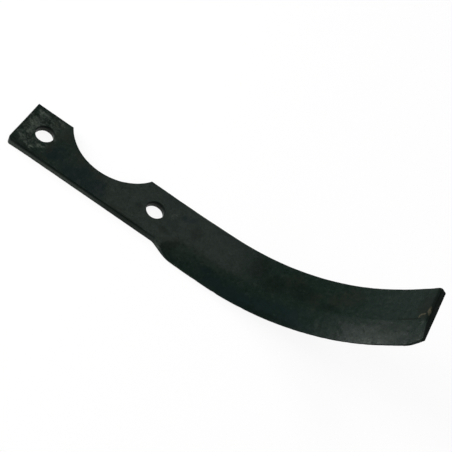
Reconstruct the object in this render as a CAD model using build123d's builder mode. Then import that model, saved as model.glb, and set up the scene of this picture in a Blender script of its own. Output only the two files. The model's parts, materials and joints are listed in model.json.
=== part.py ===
"""Rotary tiller blade, forged from one flat bar of spring steel.

The shank is flat, with two bolt holes and a half-round notch that sits round the rotor shaft.
Past the shank the bar curves up out of its own plane, and its plain edge is drawn out wider and
bevelled on the hollow side of the curve, which is the front face here.

Frame: the origin is midway between the bolt holes, on the back face, which lies against the rotor
flange. X runs along the shank towards the tip, Y towards the notched edge, and Z to the front.
"""
from build123d import *
from math import cos, degrees, radians, sin
import os

os.makedirs("parts", exist_ok=True)

# Flat bar
bar_width = 38.0
thickness = 6.0
rolled_edge_radius = 0.8

# Bolt holes
hole_spacing = 90.0
hole_diameter = 13.0
free_end_to_hole = 17.0
notched_edge_to_holes = 18.5

# Half-round notch for the shaft, which reaches down to the line through the bolt holes
notch_radius = 38.0
notch_off_middle = 1.0

# Rims that the punch rolled over on the front face
punched_rim_radius = 0.4

# Corner of the free end on the plain edge
end_corner_radius = 2.5

# Curve of the blade, as three tangent arcs of the bar's middle surface
hole_to_curve = 5.0
entry_radius = 1000.0
entry_turn = 3.0
main_radius = 142.0
main_turn = 47.5
tip_radius = 250.0
tip_turn = 8.0

# Step where the plain edge is drawn out, measured from the start of the curve
curve_to_step = 3.5
draw_out = 7.0
step_slope = 24.0
step_foot_radius = 9.0
step_brow_radius = 25.0
flare_slope = 1.8
flare_radius = 1800.0

# Bevel of the cutting edge, and its rounded start
bevel_width = 17.5
cutting_edge_land = 1.8
curve_to_bevel = 17.0
bevel_start_radius = 25.0
bevel_start_turn = 35.0

# Rounded corner where the cutting edge meets the tip
tip_corner_run = 14.0
tip_corner_rise = 4.0
tip_corner_radius = 28.0

# Room that the cutting solids take past the bar
clear = 5.0

hole_x = hole_spacing / 2
free_end = -hole_x - free_end_to_hole
curve_start = hole_x + hole_to_curve
step_start = curve_start + curve_to_step
notched_edge = notched_edge_to_holes
plain_edge = notched_edge - bar_width
cutting_edge = plain_edge - draw_out
bevel_top = cutting_edge + bevel_width
bevel_slope = (thickness - cutting_edge_land) / bevel_width

curve = [(entry_radius, entry_turn), (main_radius, main_turn), (tip_radius, tip_turn)]
curve_length = sum(radius * radians(turn) for radius, turn in curve)


def curved_on(first, height, arcs):
    """The given arcs of the curve at one height in the bar, each tangent to the line before it."""
    lines = [first]
    for radius, turn in arcs:
        last = lines[-1]
        lines.append(JernArc(last @ 1, last % 1, radius + thickness / 2 - height, turn))
    return lines


def side_line(height):
    """Side view of the bar at one height in it, from the free end to the tip."""
    return curved_on(Line((free_end, height), (curve_start, height)), height, curve)


def plan_outline():
    """Top view of the bar, wider past the step where the plain edge is drawn out."""
    reach = curve_start + curve_length
    shank_edge = Line((free_end, plain_edge), (step_start, plain_edge))
    foot = JernArc(shank_edge @ 1, shank_edge % 1, step_foot_radius, -step_slope)
    flare_way = cos(radians(flare_slope))
    arcs_drop = step_brow_radius * (flare_way - (foot % 1).X) + flare_radius * (1 - flare_way)
    step_length = ((foot @ 1).Y - cutting_edge - arcs_drop) / sin(radians(step_slope))
    step = Line(foot @ 1, (foot @ 1) + (foot % 1) * step_length)
    brow = JernArc(step @ 1, step % 1, step_brow_radius, step_slope - flare_slope)
    flare = JernArc(brow @ 1, brow % 1, flare_radius, flare_slope)
    Polyline(flare @ 1, (reach, cutting_edge), (reach, notched_edge), (free_end, notched_edge), shank_edge @ 0)


with BuildPart() as tiller_blade:
    # Curved bar, wider than it will be
    with BuildSketch(Plane.XZ.offset(-notched_edge - clear)):
        with BuildLine():
            back = side_line(0)
            front = side_line(thickness)
            Line(back[0] @ 0, front[0] @ 0)
            Line(back[-1] @ 1, front[-1] @ 1)
        make_face()
    extrude(amount=bar_width + draw_out + 2 * clear)
    through = tiller_blade.part.bounding_box().size.Z + 2 * clear

    # Outline of the bar and the drawn-out blade
    with BuildSketch(Plane.XY.offset(-clear)):
        with BuildLine():
            plan_outline()
        make_face()
    extrude(amount=through, mode=Mode.INTERSECT)

    # Rolled edges along both sides, on both faces
    sides = tiller_blade.faces().filter_by(lambda face: abs(face.normal_at().Y) > 0.5)
    cut_ends = tiller_blade.faces().sort_by(Axis.X)
    across = cut_ends[0].edges() + cut_ends[-1].edges() + tiller_blade.edges().filter_by(Axis.Z)
    fillet(sides.edges() - across, rolled_edge_radius)

    # Shaft notch, and the bolt holes with their punched rims
    with Locations((-notch_off_middle, notch_radius)):
        Hole(notch_radius)
    with GridLocations(hole_spacing, 0, 2, 1):
        Hole(hole_diameter / 2)
    front_rims = tiller_blade.edges(Select.LAST).filter_by(GeomType.CIRCLE).group_by(Axis.Z)[-1]
    fillet(front_rims, punched_rim_radius)

    # Corner of the free end, trimmed on the plain edge
    with BuildSketch(Plane.XY.offset(-clear)):
        with Locations((free_end, plain_edge)):
            Rectangle(2 * end_corner_radius, 2 * end_corner_radius)
        with Locations((free_end + end_corner_radius, plain_edge + end_corner_radius)):
            Circle(end_corner_radius, mode=Mode.SUBTRACT)
    extrude(amount=through, mode=Mode.SUBTRACT)

    # Bevel, swept along the front face after a run-out that rises clear of it
    lead_turn = degrees(curve_to_bevel / entry_radius)
    with BuildLine(Plane.XZ) as bevel_path:
        front_radius = entry_radius - thickness / 2
        shank_front = Line((free_end, thickness), (curve_start, thickness), mode=Mode.PRIVATE)
        lead = JernArc(shank_front @ 1, shank_front % 1, front_radius, lead_turn, mode=Mode.PRIVATE)
        run_out = JernArc(lead @ 1, -(lead % 1), bevel_start_radius, -bevel_start_turn)
        entry = JernArc(lead @ 1, lead % 1, front_radius, entry_turn - lead_turn)
        along = curved_on(entry, thickness, curve[1:])
        Line(along[-1] @ 1, (along[-1] @ 1) + (along[-1] % 1) * clear)
    with BuildSketch(Plane(origin=run_out @ 1, x_dir=(0, 1, 0), z_dir=-(run_out % 1))):
        with BuildLine():
            Polyline(
                (bevel_top + clear, bevel_slope * clear),
                (cutting_edge - clear, -bevel_slope * (bevel_width + clear)),
                (cutting_edge - clear, 2 * thickness),
                (bevel_top + clear, 2 * thickness),
                close=True,
            )
        make_face()
    sweep(path=bevel_path.wire(), mode=Mode.SUBTRACT)

    # Rounded corner at the tip, cut square to the front face there
    tip_way = along[-1] % 1
    tip_face = Plane(origin=along[-1] @ 1, x_dir=tip_way, z_dir=tip_way.cross(Vector(0, 1, 0)))
    with BuildSketch(tip_face):
        with BuildLine():
            corner_start = (-tip_corner_run, cutting_edge)
            corner_end = (0, cutting_edge + tip_corner_rise)
            RadiusArc(corner_start, corner_end, -tip_corner_radius)
            Polyline(
                corner_end,
                (clear, cutting_edge + tip_corner_rise),
                (clear, cutting_edge - clear),
                (-tip_corner_run, cutting_edge - clear),
                corner_start,
            )
        make_face()
    extrude(amount=2 * thickness, both=True, mode=Mode.SUBTRACT)

tiller_blade.part.label = "tiller_blade"
export_step(tiller_blade.part, "parts/tiller_blade.step")
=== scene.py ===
"""Rotary tiller blade: one forged piece with its scaled steel skin, and a pale studio round it.

The blade is made as it is in the forge. A flat blank is drawn and punched, its edges are rolled,
it is cut into fine cells, the cutting edge is hammered down to a bevel, the skin is weathered, and
last it is bent up. Lengths in the panel are in metres, and the shaping works in millimetres.
"""

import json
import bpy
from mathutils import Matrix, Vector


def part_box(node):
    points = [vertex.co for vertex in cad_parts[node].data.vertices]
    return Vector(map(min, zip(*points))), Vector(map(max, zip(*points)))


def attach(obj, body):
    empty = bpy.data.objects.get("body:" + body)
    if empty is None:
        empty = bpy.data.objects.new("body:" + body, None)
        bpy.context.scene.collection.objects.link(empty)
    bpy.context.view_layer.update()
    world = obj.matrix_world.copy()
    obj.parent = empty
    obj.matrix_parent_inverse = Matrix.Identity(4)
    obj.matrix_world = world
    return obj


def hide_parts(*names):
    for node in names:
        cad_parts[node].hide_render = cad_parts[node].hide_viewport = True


bl_info = {
    "name": "Rotary Tiller Blade",
    "version": (1, 0, 0),
    "blender": (4, 5, 0),
    "location": "3D View > Sidebar > Tiller Blade",
    "description": "Forges a rotary tiller blade in scaled steel and lights it on a pale floor",
    "category": "Mesh",
}

from math import asin, atan2, ceil, cos, pi, radians, sin, sqrt
from types import SimpleNamespace

import bmesh
import bpy
from bpy.props import FloatProperty, FloatVectorProperty, PointerProperty
from mathutils import Euler, Matrix, Vector, noise

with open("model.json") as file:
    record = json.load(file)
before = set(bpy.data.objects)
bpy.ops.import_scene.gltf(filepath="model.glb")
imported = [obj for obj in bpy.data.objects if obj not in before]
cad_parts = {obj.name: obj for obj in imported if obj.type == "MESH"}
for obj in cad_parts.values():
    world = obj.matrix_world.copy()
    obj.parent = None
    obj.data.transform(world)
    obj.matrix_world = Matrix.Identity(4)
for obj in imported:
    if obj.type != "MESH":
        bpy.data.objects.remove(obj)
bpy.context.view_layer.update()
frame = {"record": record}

MM_PER_M = 1000.0
box_low, box_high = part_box("tiller_blade")
bolts = frame["record"]["mounts"][0]["dims"]

# Distance under which two drawn corners are one, in millimetres
same_place = 0.004

# Length of the slivers that the cuts leave and that are closed up, in millimetres
sliver = 0.025

# Slack in telling the walls of the holes and the notch from the others, in millimetres
wall_slack = 0.1

# Least that a flat face points up, most that a wall does, and least that a side points across
flat_facing = 0.9
wall_facing = 0.1
side_facing = 0.5

# Turn past which an edge is still sharp and wears, and past which its shading breaks, in degrees
worn_turn = 50
shading_turn = 40

# Layers of cells through the bar, and the extra cuts at the ridge in millimetres and in the worn
# rim of the tip as shares of its radius
cell_layers = 3
ridge_cuts = (-0.25, 0.0, 0.25)
tip_cuts = (0.12, 0.25, 0.5, 0.75)

# Softer ridge round the bevel's start: its reach along the bar in millimetres, and how many times
# its softness is added there
soft_start_reach = 90
soft_start_gain = 6

# How far below the ridge the tip's wear fades, in millimetres, and the share of it that stays
tip_wear_fade = 5
tip_wear_least = 0.1

# Waves of the skin's relief, in millimetres
forging_wave = 34.0
flake_wave = 7.0
pit_wave = 2.2
scuff_wave = 4.2
nick_wave = 5.0

# Fractal noise of the relief as (fall-off, gap between frequencies, frequencies), and how steeply
# the relief follows it
flake_octaves = (0.8, 2.1, 3)
flake_contrast = 1.6
scuff_octaves = (0.9, 2.0, 2)
scuff_contrast = 2.2

# Places in the noise that keep its uses apart, and the pits' share of the lost scale's depth
forging_seed = 3.1
pit_seed = 9.7
scuff_shift = Vector((0, 7, 0))
nick_slice = 4.0
pit_share = 0.5

# Scuffed end of the shank, in millimetres: its middle's place past the hole, and its half sizes
scuffs_past_hole = 7
scuffs_half_length = 16
scuffs_half_width = 20

# Nicks: width of their strip along the cutting edge in millimetres, the noise value at which one
# starts, and how steeply it deepens
nick_strip = 1.6
nick_threshold = 0.05
nick_contrast = 2.2

# Share of the wear that goes sideways, where it mostly goes into the faces
sideways_wear = 0.3

# Places of the finish on the flat bar as (middle, reach, turn), in millimetres and degrees
thin_and_sheen_places = (
    ((30, 2), (40, 34), 0),
    ((82, 4), (56, 20), -14),
    ((60, -14), (34, 14), 0),
    ((-38, 8), (12, 14), 0),
    ((88, -12), (30, 5), 0),
    # Painted sheen on the bevel by the tip
    ((222, -20), (30, 8), 0),
)
blued_places = (
    ((-31, -10), (10, 8), 25),
    ((-12, -12), (19, 11), 5),
    ((4, -14), (13, 9), 0),
)
# A steel-blue tinge, which along the bevel is also painted shade that darkens the bevel short of
# the side lamp's highlight
tempered_and_shaded_places = (
    ((67, 8), (9, 5), 30),
    ((100, -20), (14, 6), 0),
    ((130, -22), (56, 11), 0),
    ((156, -18), (26, 9), 0),
    ((158, -24), (30, 7), 0),
)
brown_places = (
    ((-33, 7), (10, 9), 20),
    ((-36, -5.5), (5, 6), 0),
    ((-43, 14), (6, 4), 0),
    ((-36, -17), (6, 3), 0),
    ((-55, 2), (6, 4), 0),
    ((-17, -1.5), (8, 4), -30),
    ((-2, -4), (11, 5), 0),
    ((26, -19), (10, 3), 0),
    ((64, -15), (9, 5), 0),
    ((152, 8), (13, 9), -20),
    ((172, -3), (9, 10), 15),
    ((190, 5), (16, 12), 15),
    ((251, -2), (6, 9), 0),
)
# Partly scraped steel, partly painted highlights of the scuffed relief round the end hole
scraped_and_highlight_places = (
    ((-55.5, 5.8), (8, 2.2), -12),
    ((-55, 2.2), (5.5, 5), 0),
    ((-54.5, -1), (4, 1.8), 20),
    ((-54.5, 13.2), (6, 2.4), -10),
    ((-53, 10.6), (2, 3.6), -15),
    ((-49, 13), (3.6, 3), 0),
    ((-49.6, 5.4), (2, 1.4), 30),
    ((-54.3, -5), (4, 3), 35),
    ((-57, -11.5), (6.5, 3.2), -35),
    ((-52, -14.2), (6, 2.2), -38),
    ((-46, -14.4), (6, 2.4), 30),
    ((-41.5, -10.5), (4.5, 2.6), 35),
    ((-41, 15), (7, 2.5), 0),
)
# Scuffs; round the end hole they are partly painted highlights of the relief
scuffed_and_highlight_places = (
    ((58, 4), (2.6, 6), -20),
    ((60, -21.5), (4, 2.5), -30),
    ((253, -22), (3, 6), 0),
    # Painted highlight along the cutting edge by the tip
    ((213, -25.5), (22, 4), 0),
    ((251.5, -12), (3, 2), 0),
    ((-50, 0), (19, 23), 0),
)
# Dark patches, partly dark scale and partly painted shade: round the end hole they paint the
# shadow gaps of the scuffed relief, and the others darken the edges by the free end and patches on
# the face and by the tip
sooty_and_shaded_places = (
    ((-56.5, 9.3), (6, 3), 0),
    ((-48.5, 9.8), (4.5, 3), 0),
    ((-48.3, 5.6), (5, 1.6), 35),
    ((-52, -8.4), (6, 4), -20),
    ((-59, -4), (4, 4), 0),
    ((-58, -16.5), (6, 4), 0),
    ((-50, 17.2), (14, 2), 0),
    ((-48, -18), (16, 2.4), 0),
    ((-60.6, 0), (2, 19), 0),
    ((57, -9.8), (6.5, 4), 0),
    ((34, -4.5), (5, 2.5), 0),
    ((77, 2), (6, 10), 0),
    ((126, 6), (10, 14), 0),
    ((140, -1), (15, 12), 0),
    ((160, 1), (16, 11), 0),
    ((182, -5), (9, 6), 0),
    ((250, 3), (9, 16), 0),
    # Painted shade along the cutting edge, which darkens the side lamp's highlight on the bevel
    ((145, -25), (36, 4), 0),
)
# Painted shade lines along the ridge above the bevel by the tip, and under the plain side's rolled
# edge
shade_line_places = (
    ((241, -8.8), (13, 0.8), 0),
    ((33, -18.6), (16, 1.2), 0),
)
rust_places = (
    ((253.6, -2.3), (1.4, 5), 5),
    ((250.3, -5.0), (2.6, 1.1), 10),
    ((248.3, -6.6), (1.1, 2.4), -25),
)

# Range that the values of a noise pattern mostly keep to
noise_range = (0.3, 0.7)

# Turn of the fine streaks on the bar in degrees, and how much they are squeezed across it
streak_turn = -6
streak_squeeze = 1.7

# Height of an oval's middle in the bar, and its reach right through the bar, in millimetres
oval_height = 3.0
oval_reach_through = 40.0

# Where the masks of the walls start and are full, in metres off the tip, the holes' walls, the
# plain edge or the back
tip_wall = (0.0004, 0.0001)
worn_rim_fade = 0.0025
ridge_fade = 0.003
hole_wall = (0.0005, 0.0002)
# Heights through the bar over which the holes' walls turn into the painted shadow under the front
# rim
hole_wall_heights = (0.0026, 0.0044)
shank_side_fade = 0.01
plain_wall = (0.001, 0.0005)
# Heights of the painted shadow under the plain side's rolled front edge, and where along the bar
# the painted floor reflection on that side comes in towards the free end
rolled_shadow_heights = (0.0036, 0.0046)
side_reflection_places = (0.016, 0.004)

# Camera's place in metres and turn in degrees, which give the photo's angle
camera_place = (0.0781737, -0.4144726, 0.5725021)
camera_turn = (32.03219, -20.97155, 28.18252)
sensor_width = 36.0

# Middle of the floor, just under the blade, in metres
floor_middle = (0.08, 0, -0.0002)

# Height of the view where the studio's walls start to darken, and where the ceiling starts
wall_top = 0.06
ceiling_start = 0.36


def length(name, description, default):
    """A length in metres for the panel."""
    return FloatProperty(
        name=name, description=description, default=default, unit="LENGTH", precision=5
    )


def angle(name, description, default):
    """An angle for the panel, given in degrees."""
    return FloatProperty(
        name=name, description=description, default=radians(default), subtype="ANGLE"
    )


def share(name, description, default):
    """A share from nought to one for the panel."""
    return FloatProperty(
        name=name, description=description, default=default, min=0.0, max=1.0, subtype="FACTOR"
    )


def level(name, description, default):
    """A plain strength for the panel."""
    return FloatProperty(name=name, description=description, default=default, min=0.0)


def power(name, description, default):
    """A lamp's power in watts for the panel."""
    return FloatProperty(
        name=name, description=description, default=default, min=0.0, unit="POWER"
    )


def colour(name, description, default):
    """A colour for the panel."""
    return FloatVectorProperty(
        name=name,
        description=description,
        default=default,
        size=3,
        min=0.0,
        max=1.0,
        subtype="COLOR",
    )


class TILLER_PG_sizes(bpy.types.PropertyGroup):
    """Sizes of the blade."""

    free_end: length("Free end", "Place of the shank's free end along the bar", box_low.x)
    notched_edge: length("Notched edge", "Place of the notched edge across the bar", box_high.y)
    cutting_edge: length("Cutting edge", "Place of the cutting edge across the bar", box_low.y)
    bar_width: length("Bar width", "Width of the bar before it is drawn out", 0.038)
    thickness: length("Thickness", "Thickness of the bar", 0.006)
    rolled_edge: length("Rolled edge", "Radius of the bar's rolled edges", 0.0008)
    sheared_edge: length("Sheared edge", "Wear on the edges that a shear or punch left", 0.00018)
    bolt_spacing: length(
        "Bolt spacing", "Distance between the bolt holes", bolts["spacing_x_mm"] / MM_PER_M
    )
    bolt_hole: length("Bolt hole", "Radius of each bolt hole", bolts["hole_r_mm"] / MM_PER_M)
    punched_rim: length("Punched rim", "Radius of the rim that the punch rolled over", 0.0004)
    notch_radius: length("Notch radius", "Radius of the shaft notch", 0.038)
    notch_off_middle: length(
        "Notch off middle", "How far the notch sits towards the free end", 0.001
    )
    end_corner: length("End corner", "Radius of the free end's corner on the plain edge", 0.0025)
    curve_start: length("Curve start", "Place along the bar where it starts to curve", 0.050)
    entry_radius: length("Entry radius", "Radius of the first arc of the curve", 1.000)
    entry_turn: angle("Entry turn", "Turn of the first arc of the curve", 3.0)
    main_radius: length("Main radius", "Radius of the main arc of the curve", 0.142)
    main_turn: angle("Main turn", "Turn of the main arc of the curve", 47.5)
    tip_radius: length("Tip radius", "Radius of the last arc of the curve", 0.250)
    tip_turn: angle("Tip turn", "Turn of the last arc of the curve", 8.0)
    step_start: length("Step start", "Place along the bar where it grows wider", 0.0535)
    step_slope: angle("Step slope", "Slope of the step to the cutting edge", 24.0)
    step_foot: length("Step foot", "Radius at the foot of the step", 0.009)
    step_brow: length("Step brow", "Radius at the brow of the step", 0.025)
    flare_slope: angle("Flare slope", "Slope at which the cutting edge starts", 1.8)
    flare_radius: length("Flare radius", "Radius of the cutting edge where it starts", 1.800)
    bevel_width: length("Bevel width", "Width of the bevel across the blade", 0.0175)
    edge_land: length("Edge land", "Thickness left at the cutting edge", 0.0018)
    bevel_crown: share(
        "Bevel crown", "Share of the bevel's depth that comes late, towards the edge", 0.16
    )
    bevel_start: length(
        "Bevel start", "Place along the bar where the bevel has its full depth", 0.0725
    )
    run_out_radius: length("Run-out radius", "Radius in which the bevel rises to the face", 0.025)
    bevel_softness: length(
        "Bevel softness", "How soft the ridge above the bevel is by the tip", 0.00012
    )
    tip_corner_run: length("Tip corner run", "Length of the rounded corner along the edge", 0.014)
    tip_corner_rise: length("Tip corner rise", "Height of the rounded corner up the tip", 0.004)
    tip_corner_radius: length("Tip corner radius", "Radius of the rounded corner", 0.028)
    tip_wear: length("Tip wear", "Radius worn on the front rim of the tip", 0.0021)
    cell: length("Cell", "Size of the cells that the skin is cut into", 0.0008)
    waviness: length("Waviness", "Depth of the broad unevenness from forging", 0.0001)
    scuff_depth: length("Scuff depth", "Depth of the scuffed relief round the end hole", 0.00028)
    scale_depth: length("Scale depth", "Depth of the patches where scale has come off", 0.00009)
    edge_wear: length("Edge wear", "Depth of the nicks in the cutting edge", 0.00022)


class TILLER_PG_finish(bpy.types.PropertyGroup):
    """Colours and gloss of the steel, several of which also carry painted light and shade."""

    scale: colour("Scale", "Dark forging scale", (0.0056, 0.0108, 0.0083))
    # Also a painted sheen on the bevel by the tip
    thin_scale_and_sheen: colour(
        "Thin scale", "Greyer steel where the scale is thin", (0.0100, 0.0154, 0.0121)
    )
    blued: colour("Blued scale", "Bluish scale left by the heat", (0.0028, 0.0074, 0.0070))
    # Also painted light: highlights of the end hole's scuffed relief and along the cutting edge by
    # the tip, light on the holes' lower walls, and a floor reflection on the plain side
    scraped_and_lit: colour(
        "Scraped steel", "Dull steel where the scale is scraped off", (0.0540, 0.0640, 0.0530)
    )
    # Also painted shade along the bevel, short of the side lamp's highlight
    tempered_and_shaded: colour(
        "Tempered scale", "Steel-blue tinge along the bevel", (0.0040, 0.0092, 0.0090)
    )
    # Also painted shade: under the holes' rims, under the plain side's rolled edge, along the
    # ridge and the cutting edge, and in the shadow gaps of the end hole's scuffed relief
    sooty_and_shaded: colour("Sooty scale", "Darkest scale in hollows and holes", (0.0028, 0.0054, 0.0039))
    brown: colour("Brown scale", "Brown tinge of the first rust", (0.0090, 0.0103, 0.0071))
    rust: colour("Rust", "Dull brown rust streaks by the tip", (0.0380, 0.0350, 0.0220))
    roughness: share("Roughness", "Roughness of the scale", 0.29)
    reflection: share("Reflection", "Specular level of the scale", 0.036)


class TILLER_PG_studio(bpy.types.PropertyGroup):
    """Camera, floor and light."""

    lens: FloatProperty(
        name="Lens",
        description="Focal length of the camera, whose sensor is 36 mm wide",
        default=83.0,
        unit="CAMERA",
    )
    floor_size: length("Floor size", "Width of the floor", 40.0)
    floor_colour: colour("Floor colour", "Colour of the floor", (0.86, 0.86, 0.86))
    floor_white: share("Floor white", "Share of the floor that shows plain white", 0.9)
    horizon: level("Horizon", "Strength of the studio's walls", 1.0)
    overhead: level("Overhead", "Strength of the studio's ceiling", 0.1)
    front_light: power("Front light", "Power of each of the two front lamps", 7.6)
    back_light: power("Back light", "Power of the lamp behind the blade", 5.0)
    side_light: power("Side light", "Power of the low lamp on the left", 15.5)


def in_millimetres(group):
    """The group's lengths in millimetres, with its other values as they are."""
    values = {}
    for key in type(group).__annotations__:
        values[key] = getattr(group, key)
        if group.bl_rna.properties[key].unit == "LENGTH":
            values[key] *= MM_PER_M
    return SimpleNamespace(**values)


def curve_arcs(size):
    """Radius and turn of each arc of the curve, from the shank to the tip."""
    return (
        (size.entry_radius, size.entry_turn),
        (size.main_radius, size.main_turn),
        (size.tip_radius, size.tip_turn),
    )


def tip_place(size):
    """Place of the tip along the flat bar."""
    return size.curve_start + sum(radius * turn for radius, turn in curve_arcs(size))


def run_on(mesh, corner, place):
    """Draws a straight edge from a corner to a place, and returns the new corner."""
    reached = bmesh.ops.extrude_vert_indiv(mesh, verts=[corner])["verts"][0]
    reached.co = place
    return reached


def turn_on(mesh, corner, centre, turn, cell):
    """Draws an arc from a corner about a centre, and returns the new corner."""
    centre = Vector(centre)
    fewest_steps = 3
    steps = max(fewest_steps, ceil(abs(turn) * (corner.co - centre).length / cell))
    spun = bmesh.ops.spin(
        mesh,
        geom=[corner],
        cent=centre,
        axis=(0, 0, 1),
        dvec=(0, 0, 0),
        angle=turn,
        steps=steps,
    )
    return spun["geom_last"][0]


def beside(heading, distance):
    """The step to the left of a heading in the blank's plane."""
    return Vector((-sin(heading), cos(heading), 0)) * distance


def draw_blank(mesh, size):
    """Draws the blank's outline and bolt holes and fills them."""
    plain_edge = size.notched_edge - size.bar_width
    tip = tip_place(size)

    # Plain edge, and the step down to the cutting edge
    start = mesh.verts.new((size.free_end + size.end_corner, plain_edge, 0))
    corner = run_on(mesh, start, (size.step_start, plain_edge, 0))
    foot_centre = corner.co + beside(0, -size.step_foot)
    corner = turn_on(mesh, corner, foot_centre, -size.step_slope, size.cell)
    arcs_drop = size.step_brow * (cos(size.flare_slope) - cos(size.step_slope))
    arcs_drop += size.flare_radius * (1 - cos(size.flare_slope))
    run = (corner.co.y - size.cutting_edge - arcs_drop) / sin(size.step_slope)
    down = Vector((cos(size.step_slope), -sin(size.step_slope), 0))
    corner = run_on(mesh, corner, corner.co + down * run)
    brow_centre = corner.co + beside(-size.step_slope, size.step_brow)
    corner = turn_on(mesh, corner, brow_centre, size.step_slope - size.flare_slope, size.cell)
    flare_centre = corner.co + beside(-size.flare_slope, size.flare_radius)
    corner = turn_on(mesh, corner, flare_centre, size.flare_slope, size.cell)

    # Cutting edge, rounded corner and tip
    corner = run_on(mesh, corner, (tip - size.tip_corner_run, size.cutting_edge, 0))
    chord = Vector((size.tip_corner_run, size.tip_corner_rise, 0))
    heading = atan2(chord.y, chord.x)
    half_turn = asin(chord.length / 2 / size.tip_corner_radius)
    inwards = beside(heading, size.tip_corner_radius * cos(half_turn))
    corner = turn_on(mesh, corner, corner.co + chord / 2 + inwards, 2 * half_turn, size.cell)
    corner = run_on(mesh, corner, (tip, size.notched_edge, 0))

    # Notched edge with the shaft notch
    notch_x = -size.notch_off_middle
    half_mouth = sqrt(size.notch_radius**2 - (size.notch_radius - size.notched_edge) ** 2)
    corner = run_on(mesh, corner, (notch_x + half_mouth, size.notched_edge, 0))
    notch_turn = -2 * asin(half_mouth / size.notch_radius)
    corner = turn_on(mesh, corner, (notch_x, size.notch_radius, 0), notch_turn, size.cell)

    # Free end and its rounded corner
    corner = run_on(mesh, corner, (size.free_end, size.notched_edge, 0))
    corner = run_on(mesh, corner, (size.free_end, plain_edge + size.end_corner, 0))
    turn_on(mesh, corner, start.co + Vector((0, size.end_corner, 0)), pi / 2, size.cell / 2)

    # Bolt holes
    for side in (-1, 1):
        bmesh.ops.create_circle(
            mesh,
            cap_ends=False,
            segments=ceil(2 * pi * size.bolt_hole / size.cell),
            radius=size.bolt_hole,
            matrix=Matrix.Translation((side * size.bolt_spacing / 2, 0, 0)),
        )
    bmesh.ops.remove_doubles(mesh, verts=mesh.verts[:], dist=same_place)
    bmesh.ops.triangle_fill(mesh, use_beauty=True, use_dissolve=False, edges=mesh.edges[:])

    # One face between each two lines through the holes
    for side in (-1, 1):
        cut_across(mesh, (side * size.bolt_spacing / 2, 0, 0), (1, 0, 0))
    inner = [edge for edge in mesh.edges if len(edge.link_faces) == 2]
    spare = [edge for edge in inner if not on_hole_line(edge, size)]
    bmesh.ops.dissolve_edges(mesh, edges=spare, use_verts=False, use_face_split=False)


def on_hole_line(edge, size):
    """Whether an edge lies on the line across the bar through a bolt hole."""
    off_line = [abs(abs(corner.co.x) - size.bolt_spacing / 2) for corner in edge.verts]
    return max(off_line) < same_place


def cut_across(mesh, place, facing):
    """Cuts every face at one plane."""
    parts = mesh.verts[:] + mesh.edges[:] + mesh.faces[:]
    bmesh.ops.bisect_plane(
        mesh, geom=parts, dist=same_place / 4, plane_co=place, plane_no=facing
    )


def thicken(mesh, size):
    """Gives the blank its thickness."""
    raised = bmesh.ops.extrude_face_region(mesh, geom=mesh.faces[:], use_keep_orig=True)
    corners = [part for part in raised["geom"] if isinstance(part, bmesh.types.BMVert)]
    bmesh.ops.translate(mesh, verts=corners, vec=(0, 0, size.thickness))
    bmesh.ops.recalc_face_normals(mesh, faces=mesh.faces[:])


def roll_over(mesh, edges, width, segments):
    """Rounds edges over."""
    bmesh.ops.bevel(
        mesh,
        geom=edges,
        affect="EDGES",
        offset_type="OFFSET",
        offset=width,
        segments=segments,
        profile=0.5,
        material=-1,
        clamp_overlap=False,
    )


def round_edges(mesh, size):
    """Rolls the long edges and the punched rims, then wears the edges that are still sharp."""
    mesh.normal_update()
    bolt_places = [Vector((side * size.bolt_spacing / 2, 0)) for side in (-1, 1)]
    notch_place = Vector((-size.notch_off_middle, size.notch_radius))
    tip_corner = max(corner.co.x for corner in mesh.verts) - size.tip_corner_run
    rolled = []
    rims = []
    for edge in mesh.edges:
        if len(edge.link_faces) != 2:
            continue
        flat, wall = sorted(edge.link_faces, key=lambda face: -abs(face.normal.z))
        if abs(flat.normal.z) < flat_facing or abs(wall.normal.z) > wall_facing:
            continue
        middle = (edge.verts[0].co + edge.verts[1].co) / 2
        place = middle.xy
        if min((place - bolt).length for bolt in bolt_places) < size.bolt_hole + wall_slack:
            if flat.normal.z > 0:
                rims.append(edge)
        elif (place - notch_place).length < size.notch_radius + wall_slack:
            continue
        elif abs(wall.normal.y) > side_facing:
            on_end_corner = middle.y < 0 and middle.x < size.free_end + size.end_corner
            on_tip_corner = middle.y < 0 and middle.x > tip_corner
            if not on_end_corner and not on_tip_corner:
                rolled.append(edge)
    roll_over(mesh, rims, size.punched_rim, segments=3)
    roll_over(mesh, rolled, size.rolled_edge, segments=4)
    mesh.normal_update()
    sharp = [edge for edge in mesh.edges if edge.calc_face_angle(0) > radians(worn_turn)]
    roll_over(mesh, sharp, size.sheared_edge, segments=2)


def cut_cells(mesh, size):
    """Cuts the blank into cells, fine enough for wear and for the bend."""
    lows = [min(corner.co[axis] for corner in mesh.verts) for axis in range(3)]
    highs = [max(corner.co[axis] for corner in mesh.verts) for axis in range(3)]
    for axis, cell in enumerate((size.cell, size.cell, size.thickness / cell_layers)):
        facing = Vector((0, 0, 0))
        facing[axis] = 1
        count = ceil((highs[axis] - lows[axis]) / cell)
        for number in range(1, count):
            place = facing * (lows[axis] + (highs[axis] - lows[axis]) * number / count)
            cut_across(mesh, place, facing)
    ridge = size.cutting_edge + size.bevel_width
    for off_ridge in ridge_cuts:
        cut_across(mesh, (0, ridge + off_ridge, 0), (0, 1, 0))
    for off_tip in tip_cuts:
        cut_across(mesh, (highs[0] - off_tip * size.tip_wear, 0, 0), (1, 0, 0))


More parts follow.
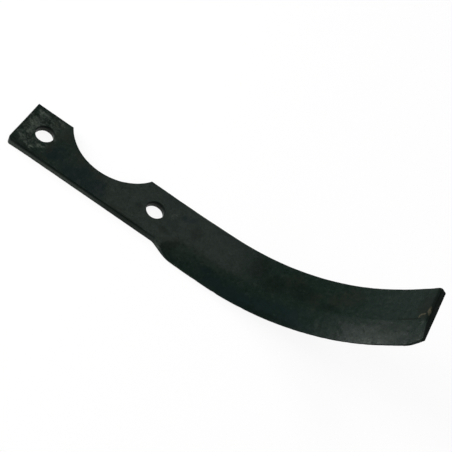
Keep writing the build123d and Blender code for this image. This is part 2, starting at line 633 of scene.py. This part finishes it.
def bevel_height(place, size):
    """Height of the bevel over the blank's back, which rises out of the face at its start."""
    down_bevel = (size.cutting_edge + size.bevel_width - place.y) / size.bevel_width
    late_share = size.bevel_crown * down_bevel * abs(down_bevel)
    crowned = (1 - size.bevel_crown) * down_bevel + late_share
    drop = (size.thickness - size.edge_land) * crowned
    short_of_start = size.bevel_start - place.x
    if short_of_start <= 0:
        return size.thickness - drop
    reach = size.run_out_radius + drop
    if short_of_start >= reach:
        return 2 * size.thickness
    return size.thickness + size.run_out_radius - sqrt(reach**2 - short_of_start**2)


def softer_lower(first, second, softness):
    """The lower of two heights, with a soft turn where they meet."""
    blend = max(softness - abs(first - second), 0) / softness
    return min(first, second) - blend**2 * softness / 4


def hammer_bevel(mesh, size):
    """Lowers the front along the cutting edge to the bevel, and rounds the tip's worn rim."""
    rim_start = max(corner.co.x for corner in mesh.verts) - size.tip_wear
    for corner in mesh.verts:
        if corner.co.z > size.sheared_edge + same_place:
            height = bevel_height(corner.co, size)
            off_start = abs(corner.co.x - size.bevel_start)
            near_start = max(1 - off_start / soft_start_reach, 0)
            softness = size.bevel_softness * (1 + soft_start_gain * near_start)
            corner.co.z = softer_lower(corner.co.z, height, softness)

            into_rim = max(corner.co.x - rim_start, 0)
            worn = size.tip_wear - sqrt(max(size.tip_wear**2 - into_rim**2, 0))
            off_ridge = corner.co.y - size.cutting_edge - size.bevel_width
            wear_share = min(max(off_ridge / tip_wear_fade + 1, tip_wear_least), 1)
            corner.co.z *= 1 - worn / size.thickness * wear_share


def close_slivers(mesh):
    """Closes up the slivers that the cuts left, and cuts the many-sided faces into triangles."""
    bmesh.ops.dissolve_degenerate(mesh, edges=mesh.edges[:], dist=sliver)
    many_sided = [face for face in mesh.faces if len(face.verts) > 4]
    bmesh.ops.triangulate(mesh, faces=many_sided)


def ripple(place, wave, seed):
    """Smooth unevenness from nought to one."""
    return 0.5 + 0.5 * noise.noise(place / wave + Vector((seed, 0, 0)))


def relief_depth(place, size):
    """How deep the skin lies at a place: forging waves, lost scale, pits, and the scuffed end."""
    depth = size.waviness * ripple(place, forging_wave, forging_seed)
    flakes = noise.fractal(place / flake_wave, *flake_octaves)
    depth += size.scale_depth * min(max(0.5 + flake_contrast * flakes, 0), 1)
    depth += size.scale_depth * pit_share * ripple(place, pit_wave, pit_seed)
    along = (place.x + size.bolt_spacing / 2 + scuffs_past_hole) / scuffs_half_length
    off_scuffs = Vector((along, place.y / scuffs_half_width)).length
    if off_scuffs < 1:
        scuffed = abs(noise.fractal(place / scuff_wave + scuff_shift, *scuff_octaves))
        depth += size.scuff_depth * (1 - off_scuffs) * min(scuff_contrast * scuffed, 1)
    return depth


def nick_depth(place, size):
    """How deep the cutting edge is nicked at a place."""
    near_edge = max(0, 1 - (place.y - size.cutting_edge) / nick_strip)
    if near_edge == 0:
        return 0
    nick = max(0, noise.noise(Vector((place.x / nick_wave, 0, nick_slice))) - nick_threshold)
    return size.edge_wear * near_edge * nick_contrast * nick


def weather(mesh, size):
    """Sinks the skin a little, so that nothing stands proud of the bar, and nicks the edge.

    The back and the front sink towards each other, and the walls change over evenly from one to
    the other, so that close corners don't cross.
    """
    mesh.normal_update()
    moves = []
    for corner in mesh.verts:
        place = corner.co.copy()
        depth = relief_depth(place, size)
        front = min(size.thickness, bevel_height(place, size))
        inwards = corner.normal * -sideways_wear * depth
        inwards.z = depth * (1 - 2 * min(place.z / front, 1))
        inwards.y += nick_depth(place, size)
        moves.append(inwards)
    for corner, move in zip(mesh.verts, moves):
        corner.co += move


def keep_flat_places(mesh):
    """Writes each corner's place in the flat bar, in metres, for the finish to follow."""
    layer = mesh.verts.layers.float_vector.new("bar_place")
    for corner in mesh.verts:
        corner[layer] = corner.co / MM_PER_M


def turn_between(low, high, size):
    """How far the bar turns between two places along it."""
    turned = 0
    start = size.curve_start
    for radius, turn in curve_arcs(size):
        stop = start + radius * turn
        turned += max(0, min(high, stop) - max(low, start)) / radius
        start = stop
    return turned


def bend_up(mesh, size):
    """Bends the blade up about its middle, one column of cells after another from the tip back."""
    corners = sorted(mesh.verts, key=lambda corner: -corner.co.x)
    places = [corner.co.x for corner in corners]
    columns = ceil((places[0] - size.curve_start) / size.cell)
    beyond = len(corners)
    counts = []
    for number in range(columns + 1):
        station = size.curve_start + number * size.cell
        while beyond and places[beyond - 1] <= station:
            beyond -= 1
        counts.append((station, beyond))
    for station, beyond in reversed(counts):
        turn = turn_between(station - size.cell / 2, station + size.cell / 2, size)
        if beyond and turn:
            bmesh.ops.rotate(
                mesh,
                verts=corners[:beyond],
                cent=(station, 0, size.thickness / 2),
                matrix=Matrix.Rotation(-turn, 3, "Y"),
            )


def add(tree, kind, inputs=None, **settings):
    """Adds a node, sets it, feeds its inputs with values or sockets, and returns it."""
    made = tree.nodes.new(kind)
    for key, value in settings.items():
        setattr(made, key, value)
    for key, value in (inputs or {}).items():
        if isinstance(value, bpy.types.NodeSocket):
            tree.links.new(value, made.inputs[key])
        else:
            made.inputs[key].default_value = value
    return made


def noise_at(tree, place, per_metre, detail, rough, distortion=0.0):
    """A noise pattern's value, with so many waves to the metre."""
    inputs = {
        "Vector": place,
        "Scale": per_metre,
        "Detail": detail,
        "Roughness": rough,
        "Distortion": distortion,
    }
    return add(tree, "ShaderNodeTexNoise", inputs).outputs["Fac"]


def between(tree, value, low, high, out_low=0.0, out_high=1.0):
    """Maps a value smoothly from one range to another, either of which may run downwards."""
    inputs = {
        "Value": value,
        "From Min": low,
        "From Max": high,
        "To Min": out_low,
        "To Max": out_high,
    }
    made = add(tree, "ShaderNodeMapRange", inputs, interpolation_type="SMOOTHSTEP")
    return made.outputs["Result"]


def worked(tree, operation, first, second=0.0):
    """Two values put through one of the Math node's operations."""
    made = add(tree, "ShaderNodeMath", {0: first, 1: second}, operation=operation)
    return made.outputs["Value"]


def tinted(tree, under, mask, over, strength=1.0):
    """A tone with a panel colour laid over it where the mask is."""
    if strength != 1.0:
        mask = worked(tree, "MULTIPLY", mask, strength)
    made = add(tree, "ShaderNodeMix", {0: mask, 6: under, 7: opaque(over)}, data_type="RGBA")
    return made.outputs[2]


def opaque(values):
    """A panel colour with its alpha."""
    return (*values, 1.0)


def parts_of(tree, place):
    """A place's parts along, across and up through the bar."""
    parts = add(tree, "ShaderNodeSeparateXYZ", {"Vector": place})
    return [parts.outputs[axis] for axis in "XYZ"]


def oval(tree, place, middle, reach, turn):
    """Falls from one in the middle of an oval on the bar to nought at its rim."""
    inputs = {
        "Vector": place,
        "Location": Vector((*middle, oval_height)) / MM_PER_M,
        "Rotation": (0, 0, radians(turn)),
        "Scale": Vector((*reach, oval_reach_through)) / MM_PER_M,
    }
    mapped = add(tree, "ShaderNodeMapping", inputs, vector_type="TEXTURE")
    falloff = {"Vector": mapped.outputs["Vector"]}
    return add(tree, "ShaderNodeTexGradient", falloff, gradient_type="SPHERICAL").outputs["Fac"]


def patches(tree, place, ovals, speckle, ragged, soft):
    """Ovals of one kind, each (middle, reach, turn), with rims that a noise value breaks up."""
    falls = [oval(tree, place, *each) for each in ovals]
    most = falls[0]
    for fall in falls[1:]:
        most = worked(tree, "MAXIMUM", most, fall)
    broken = between(tree, speckle, *noise_range, out_low=1 - ragged, out_high=1 + ragged)
    rim = 0.1
    return between(tree, worked(tree, "MULTIPLY", most, broken), rim, rim + soft)


def strayed(tree, place, per_metre, reach):
    """The place, moved about by a noise pattern, so that what follows it has ragged rims."""
    inputs = {"Vector": place, "Scale": per_metre, "Detail": 3.0, "Roughness": 0.6}
    pattern = add(tree, "ShaderNodeTexNoise", inputs)
    middle = (0.5, 0.5, 0.5)
    inputs = {0: pattern.outputs["Color"], 1: middle}
    middled = add(tree, "ShaderNodeVectorMath", inputs, operation="SUBTRACT")
    inputs = {0: middled.outputs["Vector"], 1: (reach, reach, 0), 2: place}
    moved = add(tree, "ShaderNodeVectorMath", inputs, operation="MULTIPLY_ADD")
    return moved.outputs["Vector"]


def tip_mask(tree, skin, sizes):
    """Mask of the tip's sheared wall, and of the worn rim beside it above the ridge."""
    ragged_along = parts_of(tree, skin.fine)[0]
    tip = tip_place(sizes)
    ridge = sizes.cutting_edge + sizes.bevel_width
    wall_start, wall_full = tip_wall
    wall = between(tree, skin.along, tip - wall_start, tip - wall_full)
    rim = between(tree, ragged_along, tip - sizes.tip_wear - worn_rim_fade, tip, out_high=0.9)
    above_ridge = between(tree, skin.across, ridge - ridge_fade, ridge)
    rim = worked(tree, "MULTIPLY", rim, above_ridge)
    return worked(tree, "MAXIMUM", wall, rim)


def hole_masks(tree, skin, sizes):
    """Masks of the bolt holes' walls: a painted shadow under the front rim, and painted light on
    the rest, down towards the floor.
    """
    off_middle = worked(tree, "ABSOLUTE", skin.along)
    off_bolt = worked(tree, "SUBTRACT", off_middle, sizes.bolt_spacing / 2)
    off_bolt = add(tree, "ShaderNodeCombineXYZ", {"X": off_bolt, "Y": skin.across})
    inputs = {0: off_bolt.outputs["Vector"]}
    from_bolt = add(tree, "ShaderNodeVectorMath", inputs, operation="LENGTH").outputs["Value"]
    wall_start, wall_full = hole_wall
    wall = between(tree, from_bolt, sizes.bolt_hole + wall_start, sizes.bolt_hole + wall_full)
    hole_rim_shadow = worked(tree, "MULTIPLY", wall, between(tree, skin.up, *hole_wall_heights))
    return hole_rim_shadow, worked(tree, "SUBTRACT", wall, hole_rim_shadow)


def plain_side_masks(tree, skin, sizes):
    """Masks of the shank's plain side: a painted shadow line under the rolled front edge, and a
    painted reflection of the floor on the part below it, towards the free end.
    """
    plain_edge = sizes.notched_edge - sizes.bar_width
    wall_start, wall_full = plain_wall
    side = between(tree, skin.across, plain_edge + wall_start, plain_edge + wall_full)
    shank_stop = sizes.step_start
    on_shank = between(tree, skin.along, shank_stop, shank_stop - shank_side_fade)
    side = worked(tree, "MULTIPLY", on_shank, side)
    line = worked(tree, "MULTIPLY", side, between(tree, skin.up, *rolled_shadow_heights))
    below = worked(tree, "SUBTRACT", side, line)
    towards_end = between(tree, skin.along, *side_reflection_places, out_high=0.36)
    return line, worked(tree, "MULTIPLY", below, towards_end)


def skin_patterns(tree):
    """The bar's places, two ragged copies of them, and the noise patterns of the whole skin."""
    place = add(tree, "ShaderNodeAttribute", attribute_name="bar_place").outputs["Vector"]
    along, across, up = parts_of(tree, place)
    inputs = {
        "Vector": place,
        "Rotation": (0, 0, radians(streak_turn)),
        "Scale": (1, streak_squeeze, 1),
    }
    combed = add(tree, "ShaderNodeMapping", inputs).outputs["Vector"]
    return SimpleNamespace(
        place=place,
        along=along,
        across=across,
        up=up,
        broad=strayed(tree, place, per_metre=70.0, reach=0.016),
        fine=strayed(tree, place, per_metre=260.0, reach=0.006),
        clouds=noise_at(tree, place, per_metre=45.0, detail=4.0, rough=0.6),
        mottle=noise_at(tree, place, per_metre=190.0, detail=4.0, rough=0.66, distortion=0.5),
        flecks=noise_at(tree, place, per_metre=560.0, detail=4.0, rough=0.7, distortion=0.8),
        streaks=noise_at(tree, combed, per_metre=430.0, detail=5.0, rough=0.72, distortion=1.0),
        grain=noise_at(tree, place, per_metre=1300.0, detail=2.0, rough=0.6),
    )


def scale_tone(tree, skin, finish):
    """Dark scale, thin and grey on the shank, with a painted sheen on the bevel by the tip,
    lighter and darker flecks, and heat tinges that along the bevel are partly painted shade.
    """
    # The thin patches also paint a sheen on the bevel by the tip
    thin = patches(tree, skin.broad, thin_and_sheen_places, skin.clouds, ragged=0.3, soft=0.5)
    tone = tinted(tree, opaque(finish.scale), thin, finish.thin_scale_and_sheen)
    lighter = between(tree, skin.mottle, 0.5, 0.72, out_high=0.7)
    tone = tinted(tree, tone, lighter, finish.thin_scale_and_sheen)
    brighter = between(tree, skin.flecks, 0.54, 0.74, out_high=0.2)
    tone = tinted(tree, tone, brighter, finish.scraped_and_lit)
    darker = between(tree, skin.flecks, 0.5, 0.28, out_high=0.95)
    tone = tinted(tree, tone, darker, finish.sooty_and_shaded)

    blued = patches(tree, skin.broad, blued_places, skin.mottle, ragged=0.5, soft=0.4)
    tone = tinted(tree, tone, blued, finish.blued, strength=0.85)
    # Along the bevel this tinge is also painted shade
    tempered_and_shaded = patches(tree, skin.broad, tempered_and_shaded_places, skin.mottle, ragged=0.5, soft=0.8)
    tone = tinted(tree, tone, tempered_and_shaded, finish.tempered_and_shaded, strength=0.85)
    brown = patches(tree, skin.broad, brown_places, skin.mottle, ragged=0.9, soft=0.6)
    flecked = between(tree, skin.flecks, 0.35, 0.6, out_low=0.2, out_high=0.6)
    return tinted(tree, tone, worked(tree, "MULTIPLY", brown, flecked), finish.brown)


def worn_and_shaded_tone(tree, skin, finish, tone):
    """The tone with dark patches that are partly painted shade, scraped and scuffed places that
    are partly painted highlights, and painted shade lines over it.
    """
    # Dark patches, partly painted shade
    sooty_and_shaded = patches(tree, skin.fine, sooty_and_shaded_places, skin.streaks, ragged=0.9, soft=0.45)
    streaked = between(tree, skin.streaks, 0.6, 0.42, out_low=0.3)
    tone = tinted(tree, tone, worked(tree, "MULTIPLY", sooty_and_shaded, streaked), finish.sooty_and_shaded)
    # Scraped places, partly painted highlights of the scuffed relief
    scraped_and_lit = patches(tree, skin.fine, scraped_and_highlight_places, skin.mottle, ragged=0.9, soft=0.6)
    streaked = between(tree, skin.streaks, 0.45, 0.64, out_low=0.12, out_high=0.85)
    tone = tinted(tree, tone, worked(tree, "MULTIPLY", scraped_and_lit, streaked), finish.scraped_and_lit)
    # Scuffs, with a painted highlight along the cutting edge by the tip and painted highlights of
    # the relief round the end hole
    scuffed = patches(tree, skin.fine, scuffed_and_highlight_places, skin.flecks, ragged=0.9, soft=0.8)
    flecked = between(tree, skin.flecks, 0.4, 0.62, out_high=0.32)
    tone = tinted(tree, tone, worked(tree, "MULTIPLY", scuffed, flecked), finish.scraped_and_lit)
    # Painted shade lines along the ridge and the rolled plain edge
    shade_lines = patches(tree, skin.place, shade_line_places, skin.flecks, ragged=0.4, soft=0.3)
    return tinted(tree, tone, shade_lines, finish.sooty_and_shaded, strength=0.8)


def scaled_steel(finish, sizes):
    """Dark forging scale with thin, blued, scraped, sheared and rusty places along the bar, and
    painted shade, highlights and a floor reflection in its colour.
    """
    material = bpy.data.materials.new("scaled_steel")
    material.use_nodes = True
    tree = material.node_tree
    skin = skin_patterns(tree)
    tone = worn_and_shaded_tone(tree, skin, finish, scale_tone(tree, skin, finish))

    # Painted shadow under the holes' front rims and under the plain side's rolled front edge,
    # painted light on the holes' lower walls and a painted floor reflection on the plain side by
    # the free end, and dark metal on the tip's sheared wall and worn rim
    hole_rim_shadow, hole_wall_light = hole_masks(tree, skin, sizes)
    rolled_edge_shadow, side_floor_reflection = plain_side_masks(tree, skin, sizes)
    hole_wall_light = worked(tree, "MULTIPLY", hole_wall_light, 0.5)
    scraped_and_lit = worked(tree, "MAXIMUM", side_floor_reflection, hole_wall_light)
    sheared_and_shaded = worked(tree, "MAXIMUM", tip_mask(tree, skin, sizes), hole_rim_shadow)
    tone = tinted(tree, tone, rolled_edge_shadow, finish.sooty_and_shaded, strength=0.7)
    tone = tinted(tree, tone, scraped_and_lit, finish.scraped_and_lit)
    tone = tinted(tree, tone, sheared_and_shaded, finish.sooty_and_shaded)

    # Rust streaks over everything
    rusted = patches(tree, skin.place, rust_places, skin.flecks, ragged=0.9, soft=0.6)
    tone = tinted(tree, tone, rusted, finish.rust)

    # Gloss that varies with the mottling, and is duller on the sheared walls
    least, most = finish.roughness - 0.05, finish.roughness + 0.1
    rough = between(tree, skin.mottle, *noise_range, out_low=least, out_high=most)
    rough = worked(tree, "ADD", rough, worked(tree, "MULTIPLY", sheared_and_shaded, 0.3))

    # Fine relief, too small for the mesh
    relief = worked(tree, "ADD", skin.mottle, worked(tree, "MULTIPLY", skin.grain, 0.3))
    bump = add(tree, "ShaderNodeBump", {"Height": relief, "Strength": 0.5, "Distance": 0.0002})

    shader = tree.nodes["Principled BSDF"]
    shader.inputs["Specular IOR Level"].default_value = finish.reflection
    tree.links.new(tone, shader.inputs["Base Color"])
    tree.links.new(rough, shader.inputs["Roughness"])
    tree.links.new(bump.outputs["Normal"], shader.inputs["Normal"])
    return material


class TILLER_OT_blade(bpy.types.Operator):
    """Forge the blade and give it its scaled steel skin"""

    bl_idname = "tiller.blade"
    bl_label = "Forge Blade"

    def execute(self, context):
        sizes = context.scene.tiller_sizes
        size = in_millimetres(sizes)
        mesh = bmesh.new()
        draw_blank(mesh, size)
        thicken(mesh, size)
        round_edges(mesh, size)
        cut_cells(mesh, size)
        hammer_bevel(mesh, size)
        close_slivers(mesh)
        weather(mesh, size)
        keep_flat_places(mesh)
        bend_up(mesh, size)
        bmesh.ops.scale(mesh, verts=mesh.verts[:], vec=Vector((1, 1, 1)) / MM_PER_M)
        bmesh.ops.recalc_face_normals(mesh, faces=mesh.faces[:])

        skin = bpy.data.meshes.new("forged_blade")
        mesh.to_mesh(skin)
        mesh.free()
        skin.shade_smooth()
        skin.set_sharp_from_angle(angle=radians(shading_turn))
        blade = bpy.data.objects.new("forged_blade", skin)
        context.scene.collection.objects.link(blade)
        skin.materials.append(scaled_steel(context.scene.tiller_finish, sizes))
        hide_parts("tiller_blade")
        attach(blade, "root")
        return {"FINISHED"}


def pale_floor(studio):
    """A pale floor that shows white and keeps the blade's shadow."""
    material = bpy.data.materials.new("pale_floor")
    material.use_nodes = True
    tree = material.node_tree
    tree.nodes.remove(tree.nodes["Principled BSDF"])
    rays = add(tree, "ShaderNodeLightPath").outputs
    seen = worked(tree, "MAXIMUM", rays["Is Camera Ray"], rays["Is Glossy Ray"])
    seen = worked(tree, "MAXIMUM", seen, rays["Is Transmission Ray"])
    factor = worked(tree, "MULTIPLY", seen, studio.floor_white)
    white = add(tree, "ShaderNodeEmission", {"Color": opaque((1, 1, 1)), "Strength": 1.0})
    matt = add(tree, "ShaderNodeBsdfDiffuse", {"Color": opaque(studio.floor_colour)})
    inputs = {0: factor, 1: matt.outputs["BSDF"], 2: white.outputs["Emission"]}
    mixed = add(tree, "ShaderNodeMixShader", inputs)
    tree.links.new(mixed.outputs["Shader"], tree.nodes["Material Output"].inputs["Surface"])
    return material


def studio_walls(studio):
    """Pale walls round the horizon and a dimmer ceiling."""
    world = bpy.data.worlds.new("studio_walls")
    world.use_nodes = True
    tree = world.node_tree
    way = add(tree, "ShaderNodeTexCoord").outputs["Generated"]
    up = parts_of(tree, way)[2]
    strength = between(tree, up, wall_top, ceiling_start, studio.horizon, studio.overhead)
    tree.links.new(strength, tree.nodes["Background"].inputs["Strength"])
    tree.nodes["Background"].inputs["Color"].default_value = opaque((1, 1, 1))
    return world


def soft_lamp(scene, name, place, aim, width, strength):
    """A large square lamp that looks at a point."""
    light = bpy.data.lights.new(name, "AREA")
    light.size = width
    light.energy = strength
    lamp = bpy.data.objects.new(name, light)
    lamp.location = place
    way = Vector(aim) - Vector(place)
    lamp.rotation_euler = way.to_track_quat("-Z", "Y").to_euler()
    scene.collection.objects.link(lamp)


class TILLER_OT_studio(bpy.types.Operator):
    """Lay the pale floor, hang the soft lamps and set the camera"""

    bl_idname = "tiller.studio"
    bl_label = "Set Studio"

    def execute(self, context):
        scene = context.scene
        studio = scene.tiller_studio

        # Floor and walls
        mesh = bmesh.new()
        bmesh.ops.create_grid(mesh, x_segments=1, y_segments=1, size=studio.floor_size / 2)
        bmesh.ops.translate(mesh, verts=mesh.verts[:], vec=floor_middle)
        ground = bpy.data.meshes.new("floor")
        mesh.to_mesh(ground)
        mesh.free()
        ground.materials.append(pale_floor(studio))
        floor = bpy.data.objects.new("floor", ground)
        scene.collection.objects.link(floor)
        scene.world = studio_walls(studio)

        # Lamps, as name, place, aim, width and power
        front, back, side = studio.front_light, studio.back_light, studio.side_light
        lamps = (
            ("left_front_lamp", (-0.91, -0.57, 0.96), (0.08, 0, 0.02), 0.8, front),
            ("right_front_lamp", (1.07, -0.57, 0.96), (0.08, 0, 0.02), 0.8, front),
            ("back_lamp", (0.12, 0.77, 1.04), (0.1, 0, 0.0), 0.62, back),
            ("side_lamp", (-0.96, -0.02, 0.34), (0.2, 0, 0.06), 0.5, side),
        )
        for lamp in lamps:
            soft_lamp(scene, *lamp)

        # Camera
        view = bpy.data.cameras.new("photo_view")
        view.lens = studio.lens
        view.sensor_width = sensor_width
        camera = bpy.data.objects.new("photo_view", view)
        camera.location = camera_place
        camera.rotation_euler = Euler([radians(turn) for turn in camera_turn])
        scene.collection.objects.link(camera)
        scene.camera = camera
        scene.view_settings.view_transform = "Standard"
        return {"FINISHED"}


class TILLER_PT_panel(bpy.types.Panel):
    """Sidebar panel with the blade's and the studio's steps"""

    bl_idname = "TILLER_PT_panel"
    bl_label = "Rotary Tiller Blade"
    bl_space_type = "VIEW_3D"
    bl_region_type = "UI"
    bl_category = "Tiller Blade"

    def draw(self, context):
        scene = context.scene
        for operator, groups in (
            (TILLER_OT_blade, (scene.tiller_sizes, scene.tiller_finish)),
            (TILLER_OT_studio, (scene.tiller_studio,)),
        ):
            column = self.layout.column(align=True)
            column.operator(operator.bl_idname)
            for group in groups:
                for key in type(group).__annotations__:
                    column.prop(group, key)


classes = (
    TILLER_PG_sizes,
    TILLER_PG_finish,
    TILLER_PG_studio,
    TILLER_OT_blade,
    TILLER_OT_studio,
    TILLER_PT_panel,
)


def register():
    for each in classes:
        bpy.utils.register_class(each)
    bpy.types.Scene.tiller_sizes = PointerProperty(type=TILLER_PG_sizes)
    bpy.types.Scene.tiller_finish = PointerProperty(type=TILLER_PG_finish)
    bpy.types.Scene.tiller_studio = PointerProperty(type=TILLER_PG_studio)


def unregister():
    del bpy.types.Scene.tiller_studio
    del bpy.types.Scene.tiller_finish
    del bpy.types.Scene.tiller_sizes
    for each in reversed(classes):
        bpy.utils.unregister_class(each)


def main():
    """Makes the blade and its studio."""
    register()
    bpy.ops.tiller.blade()
    bpy.ops.tiller.studio()


if __name__ == "__main__":
    main()
